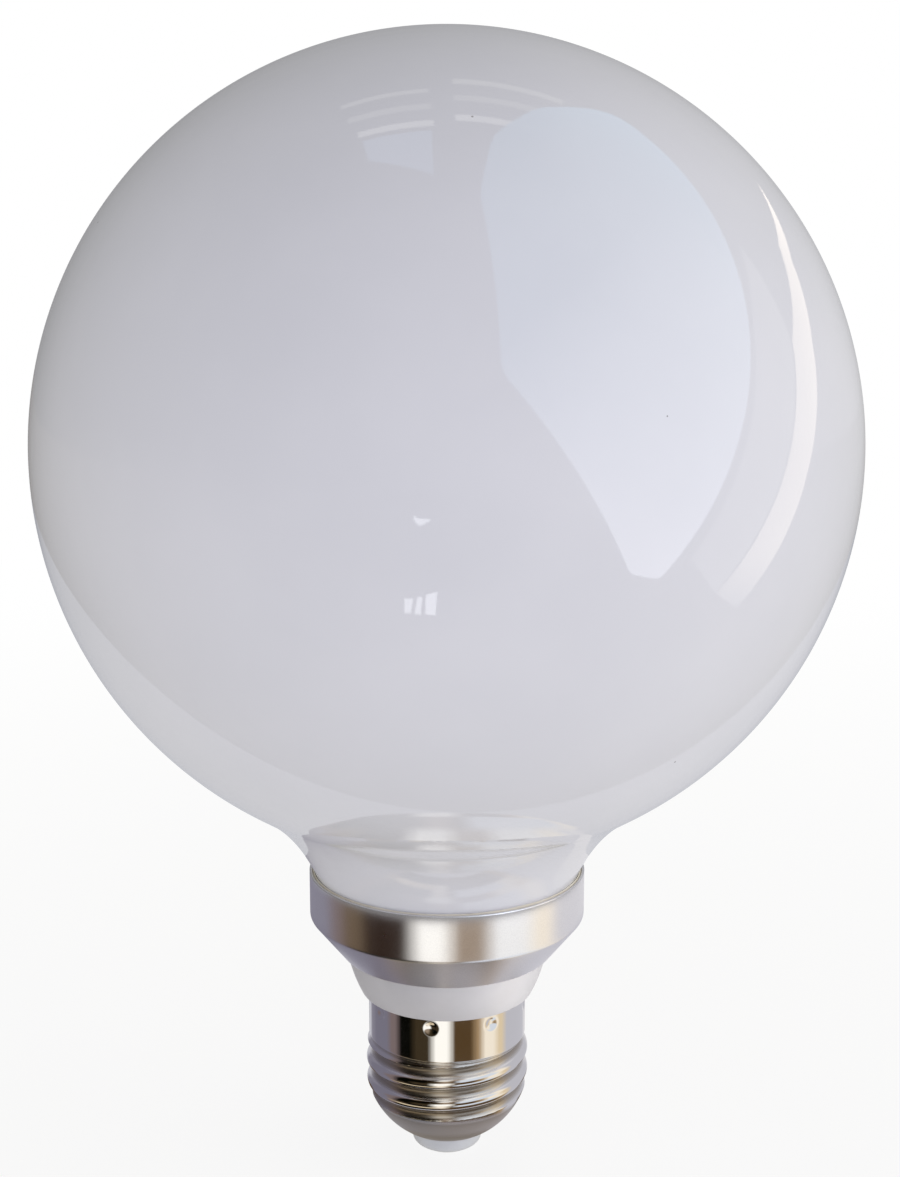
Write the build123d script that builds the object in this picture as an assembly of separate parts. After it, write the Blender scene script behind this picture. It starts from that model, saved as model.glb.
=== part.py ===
"""Globe lamp with a screw cap: opal globe, bead, metal collar, moulded neck, rolled cap shell, plug, contact.

Millimetres, +Z up the lamp's axis. The origin is the middle of the contact's end face, where the lamp
meets the spring of its holder, so every height below is measured from there.
"""
import math
import os

from build123d import *

# Opal globe: a blown ball that flares in towards a waist and is cut just above it
GLOBE_D = 125.0
GLOBE_WAIST_D = 38.3
GLOBE_FLARE_R = 28.0
GLOBE_CUT = 2.6
GLOBE_EDGE_R = 0.3

# Cap: right-hand rolled thread between a plain crimped band and a domed end
CAP_LENGTH = 27.45
THREAD_MAJOR_D = 26.3
THREAD_DEPTH = 1.05
THREAD_PITCH = 3.629
THREAD_CREST_Z = 17.25
SHELL_WALL = 0.3
BAND_STEP = 0.45
BAND_LENGTH = 7.4
RUN_OUT_LENGTH = 1.0
CREST_FADE_DROP = 1.1
CREST_FADE_LENGTH = 0.9
DOME_START_Z = 14.65
DOME_LEAD = 0.25
LIP_Z = 3.7
LIP_WIDTH = 1.6

# Crimp dents that lock the shell to the neck
CRIMP_COUNT = 8
CRIMP_BALL_R = 1.15
CRIMP_DEPTH = 0.4
CRIMP_DROP = 1.8
CRIMP_TURN = 33.5

# Plug in the domed end, and the contact riveted through it
BOSS_D = 11.3
BOSS_EDGE_R = 1.1
PLUG_FLANGE_T = 1.4
CONTACT_D = 8.6
CONTACT_T = 0.45
CONTACT_EDGE_R = 0.2
RIVET_D = 3.6
RIVET_HEAD_STEP = 1.0
RIVET_HEAD_T = 0.5

# Moulded neck between cap and collar
NECK_HEIGHT = 7.1
NECK_TOP_D = 32.4
NECK_OVERHANG = 1.1
NECK_BULGE = 0.3
NECK_EDGE_R = 0.5
NECK_SHOULDER = 1.3
SLEEVE_LENGTH = 6.4
SPIGOT_LENGTH = 3.6

# Turned collar that carries the globe
COLLAR_STEP = 0.9
COLLAR_CONE_HEIGHT = 6.15
COLLAR_BAND_HEIGHT = 7.35
COLLAR_LIP_WALL = 0.45
COLLAR_KNEE_R = 0.8
COLLAR_LIP_EDGE_R = 0.16
COLLAR_FLOOR_T = 1.9
BEAD_DEPTH = 3.0
BEAD_RECESS = 0.1
BEAD_CLIMB = 0.25
BEAD_SLOT = 0.37

# Fits
SLIP_GAP = 0.05
SPIGOT_GAP = 0.1
CORE_GAP = 0.1
GLUE_GAP = 0.03
SOCKET_GAP = 0.15

# Radii that follow from the fits
crest_r = THREAD_MAJOR_D / 2
root_r = crest_r - THREAD_DEPTH
band_r = crest_r - BAND_STEP
sleeve_r = band_r - SHELL_WALL - SLIP_GAP
neck_top_r = NECK_TOP_D / 2
neck_bottom_r = band_r + NECK_OVERHANG
spigot_r = neck_top_r - NECK_SHOULDER
boss_r = BOSS_D / 2
tip_hole_r = boss_r + SLIP_GAP
dome_end_r = tip_hole_r + LIP_WIDTH
globe_r = GLOBE_D / 2

# Heights, stacked up from the contact
lip_top_z = LIP_Z + SHELL_WALL
plug_top_z = lip_top_z + PLUG_FLANGE_T
rivet_end_z = plug_top_z + RIVET_HEAD_T
collar_bottom_z = CAP_LENGTH + NECK_HEIGHT
collar_knee_z = collar_bottom_z + COLLAR_CONE_HEIGHT
collar_top_z = collar_knee_z + COLLAR_BAND_HEIGHT
collar_floor_z = collar_bottom_z + SPIGOT_LENGTH + SPIGOT_GAP
globe_seat_z = collar_floor_z + COLLAR_FLOOR_T
flare_z = globe_seat_z - GLOBE_CUT
band_bottom_z = CAP_LENGTH - BAND_LENGTH
crimp_z = CAP_LENGTH - CRIMP_DROP
bead_z = collar_top_z - BEAD_DEPTH

# The flare's arc in the axial plane, which the bead and the collar's groove follow
flare_centre_r = GLOBE_WAIST_D / 2 + GLOBE_FLARE_R
globe_centre_z = flare_z + math.sqrt((globe_r + GLOBE_FLARE_R) ** 2 - flare_centre_r ** 2)


def glass_r(z):
    """Radius of the glass flare at height z."""
    return flare_centre_r - math.sqrt(GLOBE_FLARE_R ** 2 - (z - flare_z) ** 2)


groove_r = glass_r(collar_top_z) + BEAD_SLOT
collar_r = groove_r + COLLAR_LIP_WALL
collar_bore_r = glass_r(bead_z) + SOCKET_GAP


def at(r, z):
    """Point of the axial half-plane."""
    return Vector(r, 0, z)


def turned(*edges, rounds=()):
    """Solid of revolution of a closed axial profile; rounds lists (corner, radius)."""
    profile = make_face(edges)
    for corner, radius in rounds:
        vertex = profile.vertices().sort_by_distance(corner)[0]
        profile = fillet(vertex, radius)
    return revolve(profile, axis=Axis.Z)


def outline(*points):
    """Closed polygon through the points."""
    return Polyline(*points, close=True)


def arc_about(centre, radius, start_z, end_z, side):
    """Arc about a centre in the axial plane between two heights, on its outer (+1) or inner (-1) side."""

    def point(z):
        return at(centre.X + side * math.sqrt(radius ** 2 - (z - centre.Z) ** 2), z)

    return ThreePointArc(point(start_z), point((start_z + end_z) / 2), point(end_z))


def make_globe():
    """One blown piece: the ball, and the flare below it down to the cut end."""
    flare_centre = at(flare_centre_r, flare_z)
    ball_centre = at(0, globe_centre_z)
    join = flare_centre + (ball_centre - flare_centre).normalized() * GLOBE_FLARE_R
    flare = arc_about(flare_centre, GLOBE_FLARE_R, globe_seat_z, join.Z, -1)
    top = at(0, globe_centre_z + globe_r)
    return turned(
        Polyline(top, at(0, globe_seat_z), flare @ 0),
        flare,
        ThreePointArc(flare @ 1, at(globe_r, globe_centre_z), top),
        rounds=[(flare @ 0, GLOBE_EDGE_R)],
    )


def make_seal_bead():
    """Ring of adhesive in the groove between the glass and the collar's lip; it climbs the glass a little."""
    lip_side_z = collar_top_z - BEAD_RECESS
    glass_side_z = collar_top_z + BEAD_CLIMB
    outer_r = groove_r - GLUE_GAP
    inner = arc_about(at(flare_centre_r, flare_z), GLOBE_FLARE_R - GLUE_GAP, bead_z, glass_side_z, -1)
    return turned(inner, Polyline(inner @ 1, at(outer_r, lip_side_z), at(outer_r, bead_z), inner @ 0))


def make_collar():
    """Ring with a globe socket above its floor and a spigot bore below it."""
    bore_r = spigot_r + SPIGOT_GAP
    knee = at(collar_r, collar_knee_z)
    lip_outer = at(collar_r, collar_top_z)
    lip_inner = at(groove_r, collar_top_z)
    profile = outline(
        at(bore_r, collar_bottom_z),
        at(neck_top_r + COLLAR_STEP, collar_bottom_z),
        knee,
        lip_outer,
        lip_inner,
        at(groove_r, bead_z),
        at(collar_bore_r, bead_z),
        at(collar_bore_r, globe_seat_z),
        at(0, globe_seat_z),
        at(0, collar_floor_z),
        at(bore_r, collar_floor_z),
    )
    lip_rounds = [(lip_outer, COLLAR_LIP_EDGE_R), (lip_inner, COLLAR_LIP_EDGE_R)]
    return turned(*profile.edges(), rounds=[(knee, COLLAR_KNEE_R)] + lip_rounds)


def dome(inset):
    """Centre and radius of the domed end's arc, which starts upright a little outside the crests."""
    drop = DOME_START_Z - LIP_Z
    start_r = crest_r + DOME_LEAD
    narrowing = start_r - dome_end_r
    radius = (narrowing ** 2 + drop ** 2) / (2 * narrowing)
    return at(start_r - radius, DOME_START_Z), radius - inset


def thread_limit(inset):
    """Turned body that trims the thread: dome below, fading into the plain band above."""
    centre, radius = dome(inset)
    floor_z = LIP_Z + inset
    arc = arc_about(centre, radius, floor_z, DOME_START_Z, 1)
    start = arc @ 1
    faded_z = band_bottom_z - CREST_FADE_DROP
    end_z = faded_z + CREST_FADE_LENGTH
    end_r = 2 * (band_r - inset) - start.X
    sides = Polyline(
        start,
        at(start.X, faded_z - CREST_FADE_LENGTH),
        at(end_r, end_z),
        at(0, end_z),
        at(0, floor_z),
        arc @ 0,
    )
    return turned(arc, sides)


def cap_core(inset):
    """Turned middle of the cap: a plain core, then the cone where the thread runs out, then the band."""
    core_r = boss_r
    band = band_r - inset
    cone_r = root_r - THREAD_DEPTH - inset
    run_out_z = band_bottom_z - RUN_OUT_LENGTH * (band - cone_r) / (band_r - root_r)
    profile = outline(
        at(0, LIP_Z + inset),
        at(core_r, LIP_Z + inset),
        at(core_r, run_out_z),
        at(cone_r, run_out_z),
        at(band, band_bottom_z),
        at(band, CAP_LENGTH),
        at(0, CAP_LENGTH),
    )
    return turned(*profile.edges())


def thread_half_turn(inset):
    """Half a turn of the rolled thread: round crests and roots in tangent arcs, swept up the helix."""
    quarter = THREAD_PITCH / 4
    wave_r = (quarter ** 2 + (THREAD_DEPTH / 2) ** 2) / THREAD_DEPTH
    crest_centre_r = crest_r - wave_r
    root_centre_r = root_r + wave_r
    lean = Vector(root_centre_r - crest_centre_r, 0, 2 * quarter).normalized() * (wave_r - inset)
    lower_lean = Vector(lean.X, 0, -lean.Z)
    turns_below = math.ceil((THREAD_CREST_Z - LIP_Z) / THREAD_PITCH) + 1
    turns_above = math.ceil((CAP_LENGTH - THREAD_CREST_Z) / THREAD_PITCH)
    edges = []
    for turn in range(-turns_below, turns_above):
        z = THREAD_CREST_Z + turn * THREAD_PITCH
        centre = at(crest_centre_r, z)
        crest_top = at(crest_r - inset, z)
        if edges:
            root_bottom = at(root_r - inset, z - 2 * quarter)
            edges.append(ThreePointArc(edges[-1] @ 1, root_bottom, centre + lower_lean))
        edges.append(ThreePointArc(centre + lower_lean, crest_top, centre + lean))
    start = edges[0] @ 0
    end = edges[-1] @ 1
    inner_r = boss_r / 2
    back = Polyline(end, at(inner_r, end.Z), at(inner_r, start.Z), start)
    section = make_face([*edges, back])
    helix = Helix(pitch=THREAD_PITCH, height=THREAD_PITCH / 2, radius=crest_r)
    return sweep(section, path=helix, is_frenet=True)


def cap_body(inset):
    """Solid cap, its whole skin drawn in by inset."""
    first_half = thread_half_turn(inset)
    second_half = Pos(0, 0, THREAD_PITCH / 2) * Rot(0, 0, 180) * first_half
    limit = thread_limit(inset)
    return cap_core(inset) + (first_half & limit) + (second_half & limit)


def crimp_balls(radius):
    """Balls about the centres of the crimp dents."""
    centre_r = band_r - CRIMP_DEPTH + CRIMP_BALL_R
    first = Rot(0, 0, CRIMP_TURN)
    return [first * spot * Sphere(radius) for spot in
            [Rot(0, 0, 360 * n / CRIMP_COUNT) * Pos(centre_r, 0, crimp_z) for n in range(CRIMP_COUNT)]]


def make_screw_shell():
    """Thin rolled shell: thread, dents and domed end keep one wall thickness."""
    outside = cap_body(0) - crimp_balls(CRIMP_BALL_R)
    inside = cap_body(SHELL_WALL) - crimp_balls(CRIMP_BALL_R + SHELL_WALL)
    tip_hole = Pos(0, 0, LIP_Z) * Cylinder(tip_hole_r, 4 * SHELL_WALL)
    return outside - inside - tip_hole


def make_tip_insulator():
    """Moulded plug: a flange on the shell's lip and a boss through it."""
    flange_r = dome_end_r - SHELL_WALL - SLIP_GAP
    hole_r = RIVET_D / 2 + SLIP_GAP
    boss_edge = at(boss_r, CONTACT_T)
    profile = outline(
        at(hole_r, CONTACT_T),
        boss_edge,
        at(boss_r, lip_top_z),
        at(flange_r, lip_top_z),
        at(flange_r, plug_top_z),
        at(hole_r, plug_top_z),
    )
    return turned(*profile.edges(), rounds=[(boss_edge, BOSS_EDGE_R)])


def make_centre_contact():
    """Contact button with a rivet shank, its end spread over the plug's flange."""
    head_r = RIVET_D / 2 + RIVET_HEAD_STEP
    button_edge = at(CONTACT_D / 2, 0)
    profile = outline(
        at(0, 0),
        button_edge,
        at(CONTACT_D / 2, CONTACT_T),
        at(RIVET_D / 2, CONTACT_T),
        at(RIVET_D / 2, plug_top_z),
        at(head_r, plug_top_z),
        at(RIVET_D / 2, rivet_end_z),
        at(0, rivet_end_z),
    )
    return turned(*profile.edges(), rounds=[(button_edge, CONTACT_EDGE_R)])


def make_neck_insulator():
    """Moulded neck: a flared cup, a spigot up into the collar, a sleeve and core down into the shell."""
    sleeve_z = CAP_LENGTH - SLEEVE_LENGTH
    spigot_z = collar_bottom_z + SPIGOT_LENGTH
    bottom = at(neck_bottom_r, CAP_LENGTH)
    top = at(neck_top_r, collar_bottom_z)
    along = (top - bottom).normalized()
    bulged = (bottom + top) / 2 + Vector(along.Z, 0, -along.X) * NECK_BULGE
    cup = ThreePointArc(bottom, bulged, top)
    upper = Polyline(top, at(spigot_r, collar_bottom_z), at(spigot_r, spigot_z), at(0, spigot_z))
    core_inset = SHELL_WALL + CORE_GAP
    core_r = root_r - core_inset
    core_z = rivet_end_z + CORE_GAP
    centre, radius = dome(core_inset)
    shoulder_z = centre.Z - math.sqrt(radius ** 2 - (core_r - centre.X) ** 2)
    core_end = arc_about(centre, radius, core_z, shoulder_z, 1)
    lower = Polyline(
        core_end @ 1,
        at(core_r, sleeve_z),
        at(sleeve_r, sleeve_z),
        at(sleeve_r, CAP_LENGTH),
        bottom,
    )
    axis = Polyline(at(0, spigot_z), at(0, core_z), core_end @ 0)
    edges = [cup, core_end, *upper.edges(), *lower.edges(), *axis.edges()]
    body = turned(*edges, rounds=[(bottom, NECK_EDGE_R)])
    return body - crimp_balls(CRIMP_BALL_R + SHELL_WALL + SLIP_GAP)


pieces = {
    "globe": make_globe,
    "seal_bead": make_seal_bead,
    "collar": make_collar,
    "neck_insulator": make_neck_insulator,
    "screw_shell": make_screw_shell,
    "tip_insulator": make_tip_insulator,
    "centre_contact": make_centre_contact,
}

os.makedirs("parts", exist_ok=True)
for name, make in pieces.items():
    piece = make()
    export_step(piece, f"parts/{name}.step")
    print(name, "volume", round(piece.volume, 1), "solids", len(piece.solids()))
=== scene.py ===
# %% [markdown]
# # A globe lamp in opal glass
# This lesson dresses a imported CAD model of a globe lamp. The CAD part is loaded first as a fixed frame, and
# every piece below is made where the CAD says, in metres, with the lamp's axis on Z and its contact at the
# origin. Lengths on the lamp are written in millimetres and turned into metres with MM. The studio round it
# is laid out in metres, unless a note says otherwise.

# %% Load the frame
import math

import bpy
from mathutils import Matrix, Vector


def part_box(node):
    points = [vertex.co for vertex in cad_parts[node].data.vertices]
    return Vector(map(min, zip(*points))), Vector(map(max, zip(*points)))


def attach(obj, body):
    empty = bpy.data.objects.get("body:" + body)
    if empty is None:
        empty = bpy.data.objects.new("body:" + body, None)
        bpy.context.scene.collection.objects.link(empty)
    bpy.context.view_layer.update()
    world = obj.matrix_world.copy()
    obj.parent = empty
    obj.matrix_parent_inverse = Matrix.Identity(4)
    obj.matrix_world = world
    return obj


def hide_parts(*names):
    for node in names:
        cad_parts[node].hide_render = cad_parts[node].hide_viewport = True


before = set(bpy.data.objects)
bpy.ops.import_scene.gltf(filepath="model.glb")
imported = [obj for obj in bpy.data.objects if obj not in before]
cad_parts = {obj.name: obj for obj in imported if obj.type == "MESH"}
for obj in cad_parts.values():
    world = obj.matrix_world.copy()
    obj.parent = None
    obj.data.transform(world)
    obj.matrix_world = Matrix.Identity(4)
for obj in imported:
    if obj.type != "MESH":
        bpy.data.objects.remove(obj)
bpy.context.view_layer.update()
MM = 0.001
TURN = 2 * math.pi

# %% [markdown]
# ## A lathe for turned pieces
# Glass, collar, neck, plug and contact are all round about one axis. Blender has a Screw modifier for this,
# but a small function gives more control: it takes an outline of (radius, height) points, walked so that the
# outside is on the right, and turns it into rings of quads. A point on the axis becomes a single pole vertex,
# so nothing is left open there. Long straight runs are divided, so that smooth shading near a rounded corner
# doesn't spread along the whole face.

# %% Outline helpers
ROUND_STEPS = 8
RUN_STEP = 0.6


def arc(centre, radius, start, end, steps):
    """Points on an arc about (r, z), from one angle to another in degrees."""
    angles = [math.radians(start + (end - start) * n / steps) for n in range(steps + 1)]
    return [(centre[0] + radius * math.cos(a), centre[1] + radius * math.sin(a)) for a in angles]


def rounded(*corners):
    """Outline through (r, z) corners; a third number rounds that corner with its radius."""
    points = []
    for n, corner in enumerate(corners):
        here = Vector(corner[:2])
        if len(corner) == 2:
            points.append(tuple(here))
            continue
        back = (Vector(corners[n - 1][:2]) - here).normalized()
        ahead = (Vector(corners[(n + 1) % len(corners)][:2]) - here).normalized()
        half = back.angle(ahead) / 2
        middle = (back + ahead).normalized()
        centre = here + middle * corner[2] / math.sin(half)
        first = here + back * corner[2] / math.tan(half) - centre
        last = here + ahead * corner[2] / math.tan(half) - centre
        for step in range(ROUND_STEPS + 1):
            share = step / ROUND_STEPS
            points.append(tuple(centre + first.lerp(last, share).normalized() * corner[2]))
    return points


def divided(points, step=RUN_STEP):
    """The same outline with its long runs cut into short ones."""
    result = [points[0]]
    for start, end in zip(points, points[1:]):
        count = max(1, round(math.dist(start, end) / step))
        result += [tuple(Vector(start).lerp(Vector(end), n / count)) for n in range(1, count + 1)]
    return result


print("outline helpers: arc, rounded, divided")

# %% Lathe
ON_AXIS = 1e-6
SEGMENTS = 256
SHARP_ANGLE = math.radians(32)


def mesh_object(name, vertices, faces):
    """Mesh object at the origin, linked to the scene."""
    mesh = bpy.data.meshes.new(name)
    mesh.from_pydata(vertices, [], faces)
    mesh.update()
    made = bpy.data.objects.new(name, mesh)
    bpy.context.scene.collection.objects.link(made)
    return made


def smooth_piece(piece):
    """Shades a piece smooth apart from its sharp edges."""
    piece.data.shade_smooth()
    piece.data.set_sharp_from_angle(angle=SHARP_ANGLE)
    print(piece.name, len(piece.data.vertices), "vertices", len(piece.data.polygons), "faces")
    return piece


def lathe(name, outline, segments=SEGMENTS, closed=False):
    """Piece turned about Z from an outline in millimetres; a closed outline makes a ring."""
    vertices = []
    rings = []
    for r, z in outline:
        count = 1 if r < ON_AXIS else segments
        rings.append([len(vertices) + n for n in range(count)])
        for n in range(count):
            angle = TURN * n / segments
            vertices.append((r * MM * math.cos(angle), r * MM * math.sin(angle), z * MM))
    faces = []
    following = rings[1:] + rings[:1] if closed else rings[1:]
    for low, high in zip(rings, following):
        for n in range(segments):
            a, b = low[n % len(low)], low[(n + 1) % len(low)]
            c, d = high[(n + 1) % len(high)], high[n % len(high)]
            corners = [a] + [v for v in (b, c, d) if v != a]
            faces.append(tuple(dict.fromkeys(corners)))
    return smooth_piece(mesh_object(name, vertices, faces))


print("lathe ready, with", SEGMENTS, "segments")

# %% [markdown]
# ## Finishes
# Each finish is one material made of nodes. The numbers that are the same all over a surface are set straight
# on the Principled shader, so that an export keeps them, and only what varies is linked: a colour that drifts
# a little, a roughness with faint smears, and fine bump. The noises read Object coordinates, in metres, so a
# noise scale of 1000 has features about a millimetre wide.

# %% Node helpers
COLOUR_MIX_INPUTS = (0, 6, 7)
COLOUR_MIX_RESULT = 2


def principled(material):
    return material.node_tree.nodes["Principled BSDF"]


def new_finish(name, metallic=0.0, ior=1.5):
    """Material with a Principled shader."""
    material = bpy.data.materials.new(name)
    material.use_nodes = True
    principled(material).inputs["Metallic"].default_value = metallic
    principled(material).inputs["IOR"].default_value = ior
    return material


def add_node(material, kind, links=None, **values):
    """Node with its inputs set by name, with _ for a space, or linked from (node, output) pairs."""
    tree = material.node_tree
    node = tree.nodes.new(kind)
    for socket, value in values.items():
        node.inputs[socket.replace("_", " ")].default_value = value
    for socket, (source, output) in (links or {}).items():
        tree.links.new(source.outputs[output], node.inputs[socket])
    return node


def colour_mix(tree, factor, first, second):
    """Result of a Mix node for colours, whose sockets go by number; colours are set and sockets linked."""
    node = tree.nodes.new("ShaderNodeMix")
    node.data_type = "RGBA"
    for number, value in zip(COLOUR_MIX_INPUTS, (factor, first, second)):
        if isinstance(value, bpy.types.NodeSocket):
            tree.links.new(value, node.inputs[number])
        else:
            node.inputs[number].default_value = (*value, 1)
    return node.outputs[COLOUR_MIX_RESULT]


def shade(material, source, output, socket):
    """Links a node to the material's shader."""
    material.node_tree.links.new(source.outputs[output], principled(material).inputs[socket])


print("node helpers: new_finish, add_node, colour_mix, shade")


# %% Texture helpers
def noise(material, scale, detail=2.0, stretch=(1, 1, 1)):
    """Noise in the piece's own coordinates; stretch scales each axis."""
    place = add_node(material, "ShaderNodeTexCoord")
    turn = add_node(material, "ShaderNodeMapping", {"Vector": (place, "Object")}, Scale=stretch)
    return add_node(material, "ShaderNodeTexNoise", {"Vector": (turn, "Vector")}, Scale=scale, Detail=detail)


def ramp(material, source, output, places, colours):
    """Colour ramp between two colours, at two places from 0 to 1."""
    node = add_node(material, "ShaderNodeValToRGB", {"Fac": (source, output)})
    for element, place, colour in zip(node.color_ramp.elements, places, colours):
        element.position = place
        element.color = (*colour, 1)
    return node


def span(material, source, output, low, high):
    """Number between low and high that follows a 0 to 1 value."""
    return add_node(material, "ShaderNodeMapRange", {"Value": (source, output)}, To_Min=low, To_Max=high)


def bump(material, source, output, height, under=None):
    """Bump of that height in metres, on top of another bump if one is given."""
    links = {"Height": (source, output)}
    if under:
        links["Normal"] = (under, "Normal")
    return add_node(material, "ShaderNodeBump", links, Strength=1.0, Distance=height)


print("texture helpers: noise, ramp, span, bump")

# %% [markdown]
# ## Opal glass
# The globe is blown from clear glass and coated white inside. It could be built as glass over a white shell,
# but light then takes many bounces to say the same thing, so one glossy white surface is used: a white body
# under a smooth face with the refractive index of glass. The coating is a little cloudy, a few tiny specks
# sit in it, and the face carries faint smears.

# %% Opal glass
OPAL_IOR = 1.52
OPAL_PALE = (0.735, 0.728, 0.735)
OPAL_CLOUD = (0.71, 0.704, 0.713)
OPAL_SPECK = (0.30, 0.28, 0.28)
OPAL_ROUGHNESS = (0.02, 0.055)
CLOUD_SCALE = 34
CLOUD_RANGE = (0.38, 0.62)
SPECK_SCALE = 100
SPECK_SIZE = 0.016
SMEAR_SCALE = 60


def opal_glass():
    material = new_finish("opal_glass", ior=OPAL_IOR)
    tree = material.node_tree
    clouds = noise(material, CLOUD_SCALE, detail=4)
    body = ramp(material, clouds, "Fac", CLOUD_RANGE, (OPAL_CLOUD, OPAL_PALE))
    place = add_node(material, "ShaderNodeTexCoord")
    cells = add_node(material, "ShaderNodeTexVoronoi", {"Vector": (place, "Object")}, Scale=SPECK_SCALE)
    speck = add_node(material, "ShaderNodeMath", {0: (cells, "Distance")})
    speck.operation = "LESS_THAN"
    speck.inputs[1].default_value = SPECK_SIZE
    specked = colour_mix(tree, speck.outputs["Value"], body.outputs["Color"], OPAL_SPECK)
    tree.links.new(specked, principled(material).inputs["Base Color"])
    smears = noise(material, SMEAR_SCALE, detail=6)
    shade(material, span(material, smears, "Fac", *OPAL_ROUGHNESS), "Result", "Roughness")
    return material


print("finish: opal_glass")

# %% [markdown]
# ## Satin aluminium
# The collar is turned and then blasted, which leaves a fine even grain: it mirrors light and dark in soft
# bands without a clear picture. An anisotropic shader could draw the streaks of plain turning, but blasting
# takes them away. So a rough metal gives the soft bands, fine noise gives the sparkle of the grain, and very
# faint rings remain from the turning.

# %% Satin aluminium
ALUMINIUM = (0.83, 0.82, 0.83)
ALUMINIUM_DULL = (0.77, 0.76, 0.775)
SATIN_ROUGHNESS = (0.25, 0.33)
PATCH_SCALE = 160
GRAIN_SCALE = 5200
GRAIN_RANGE = (0.35, 0.65)
GRAIN_HEIGHT = 0.000006
RING_STRETCH = (1, 1, 60)
RING_SCALE = 70
RING_HEIGHT = 0.000004


def satin_aluminium():
    material = new_finish("satin_aluminium", metallic=1.0)
    grain = noise(material, GRAIN_SCALE, detail=3)
    colour = ramp(material, grain, "Fac", GRAIN_RANGE, (ALUMINIUM_DULL, ALUMINIUM))
    shade(material, colour, "Color", "Base Color")
    rings = noise(material, RING_SCALE, stretch=RING_STRETCH)
    turned = bump(material, rings, "Fac", RING_HEIGHT)
    shade(material, bump(material, grain, "Fac", GRAIN_HEIGHT, under=turned), "Normal", "Normal")
    patches = noise(material, PATCH_SCALE, detail=4)
    shade(material, span(material, patches, "Fac", *SATIN_ROUGHNESS), "Result", "Roughness")
    return material


print("finish: satin_aluminium")

# %% [markdown]
# ## Nickel plate
# The cap is thin brass sheet with bright nickel on it, rolled between dies. It mirrors almost clearly, with a
# slightly warm tone, and handling leaves fine marks that run round it. The grooves of the thread are rougher
# than the crests, and painted darker and browner: painted shade that dims their reflections. Noise alone
# could dull the metal, but this shade belongs in the grooves, so the geometry stores how deep a point lies in
# the groove and the finish reads that attribute.

# %% Nickel plate
NICKEL = (0.80, 0.785, 0.77)
# Darker, browner colour painted into the thread's grooves as painted shade.
NICKEL_GROOVE_SHADE = (0.40, 0.36, 0.31)
NICKEL_ROUGHNESS = (0.05, 0.11)
GROOVE_SHADE_START = 0.55
DULL_START = 0.36
GROOVE_DULLNESS = 0.27
WEAR_SCALE = 220
MARK_STRETCH = (1, 1, 45)
MARK_SCALE = 90
MARK_HEIGHT = 0.0000008


def nickel_plate():
    material = new_finish("nickel_plate", metallic=1.0)
    groove = add_node(material, "ShaderNodeAttribute")
    groove.attribute_name = "groove"
    # Deep in the groove the colour turns to the painted groove shade, darker and browner.
    colour = ramp(material, groove, "Fac", (GROOVE_SHADE_START, 1.0), (NICKEL, NICKEL_GROOVE_SHADE))
    shade(material, colour, "Color", "Base Color")
    marks = noise(material, MARK_SCALE, detail=3, stretch=MARK_STRETCH)
    shade(material, bump(material, marks, "Fac", MARK_HEIGHT), "Normal", "Normal")
    wear = span(material, noise(material, WEAR_SCALE, detail=4), "Fac", *NICKEL_ROUGHNESS)
    dull = span(material, groove, "Fac", 0.0, GROOVE_DULLNESS)
    dull.inputs["From Min"].default_value = DULL_START
    rough = add_node(material, "ShaderNodeMath", {0: (wear, "Result"), 1: (dull, "Result")})
    shade(material, rough, "Value", "Roughness")
    return material


print("finish: nickel_plate")

# %% [markdown]
# ## Mouldings, bead and contact
# The neck and the plug are moulded, with a satin skin that shows a very fine texture close up. The bead of
# adhesive is cream and a little uneven. The contact is a pressed button, duller than the cap. Each could be
# drawn up node by node, but all four share one recipe, so a function takes their colours and textures.

# %% Plain finishes
DRIFT_SCALE = 180
DRIFT_RANGE = (0.35, 0.65)


def plain_finish(name, colours, roughness, grain_scale, grain_height, metallic=0.0):
    """Finish with a slight drift of colour, a roughness range and fine grain."""
    material = new_finish(name, metallic=metallic)
    drift = noise(material, DRIFT_SCALE, detail=3)
    shade(material, ramp(material, drift, "Fac", DRIFT_RANGE, colours), "Color", "Base Color")
    shade(material, span(material, drift, "Fac", *roughness), "Result", "Roughness")
    grain = noise(material, grain_scale, detail=3)
    shade(material, bump(material, grain, "Fac", grain_height), "Normal", "Normal")
    return material


def white_moulding():
    colours = [(0.53, 0.515, 0.505), (0.56, 0.545, 0.535)]
    return plain_finish("white_moulding", colours, roughness=(0.30, 0.40), grain_scale=2600,
                        grain_height=0.000006)


def tip_moulding():
    colours = [(0.66, 0.67, 0.66), (0.70, 0.71, 0.70)]
    return plain_finish("tip_moulding", colours, roughness=(0.36, 0.48), grain_scale=2200,
                        grain_height=0.000008)


def cream_adhesive():
    colours = [(0.70, 0.64, 0.50), (0.80, 0.75, 0.62)]
    return plain_finish("cream_adhesive", colours, roughness=(0.42, 0.60), grain_scale=1500,
                        grain_height=0.00003)


def contact_metal():
    colours = [(0.60, 0.58, 0.55), (0.68, 0.66, 0.63)]
    return plain_finish("contact_metal", colours, roughness=(0.24, 0.36), grain_scale=1800,
                        grain_height=0.000006, metallic=1.0)


print("finishes: white_moulding, tip_moulding, cream_adhesive, contact_metal")

# %% [markdown]
# ## Globe
# The ball is 125 mm across. Below it the glass turns back in a wide flare and is cut off inside the collar,
# just above the flare's waist. A sphere could be pulled into this shape by hand, but a ball and a flare are
# two arcs that touch, so the outline needs only their centres and radii, and the place where they meet
# follows from the line between the two centres.

# %% Globe
globe_low, globe_high = (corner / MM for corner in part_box("globe"))
BALL_R = globe_high.x
BALL_Z = globe_high.z - BALL_R
WAIST_R = 19.15
CUT_HEIGHT = 2.6
CUT_EDGE_R = 0.3
FLARE_R = 28.0
FLARE_CENTRE = (WAIST_R + FLARE_R, globe_low.z - CUT_HEIGHT)
BALL_STEPS = 180
FLARE_STEPS = 48

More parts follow.
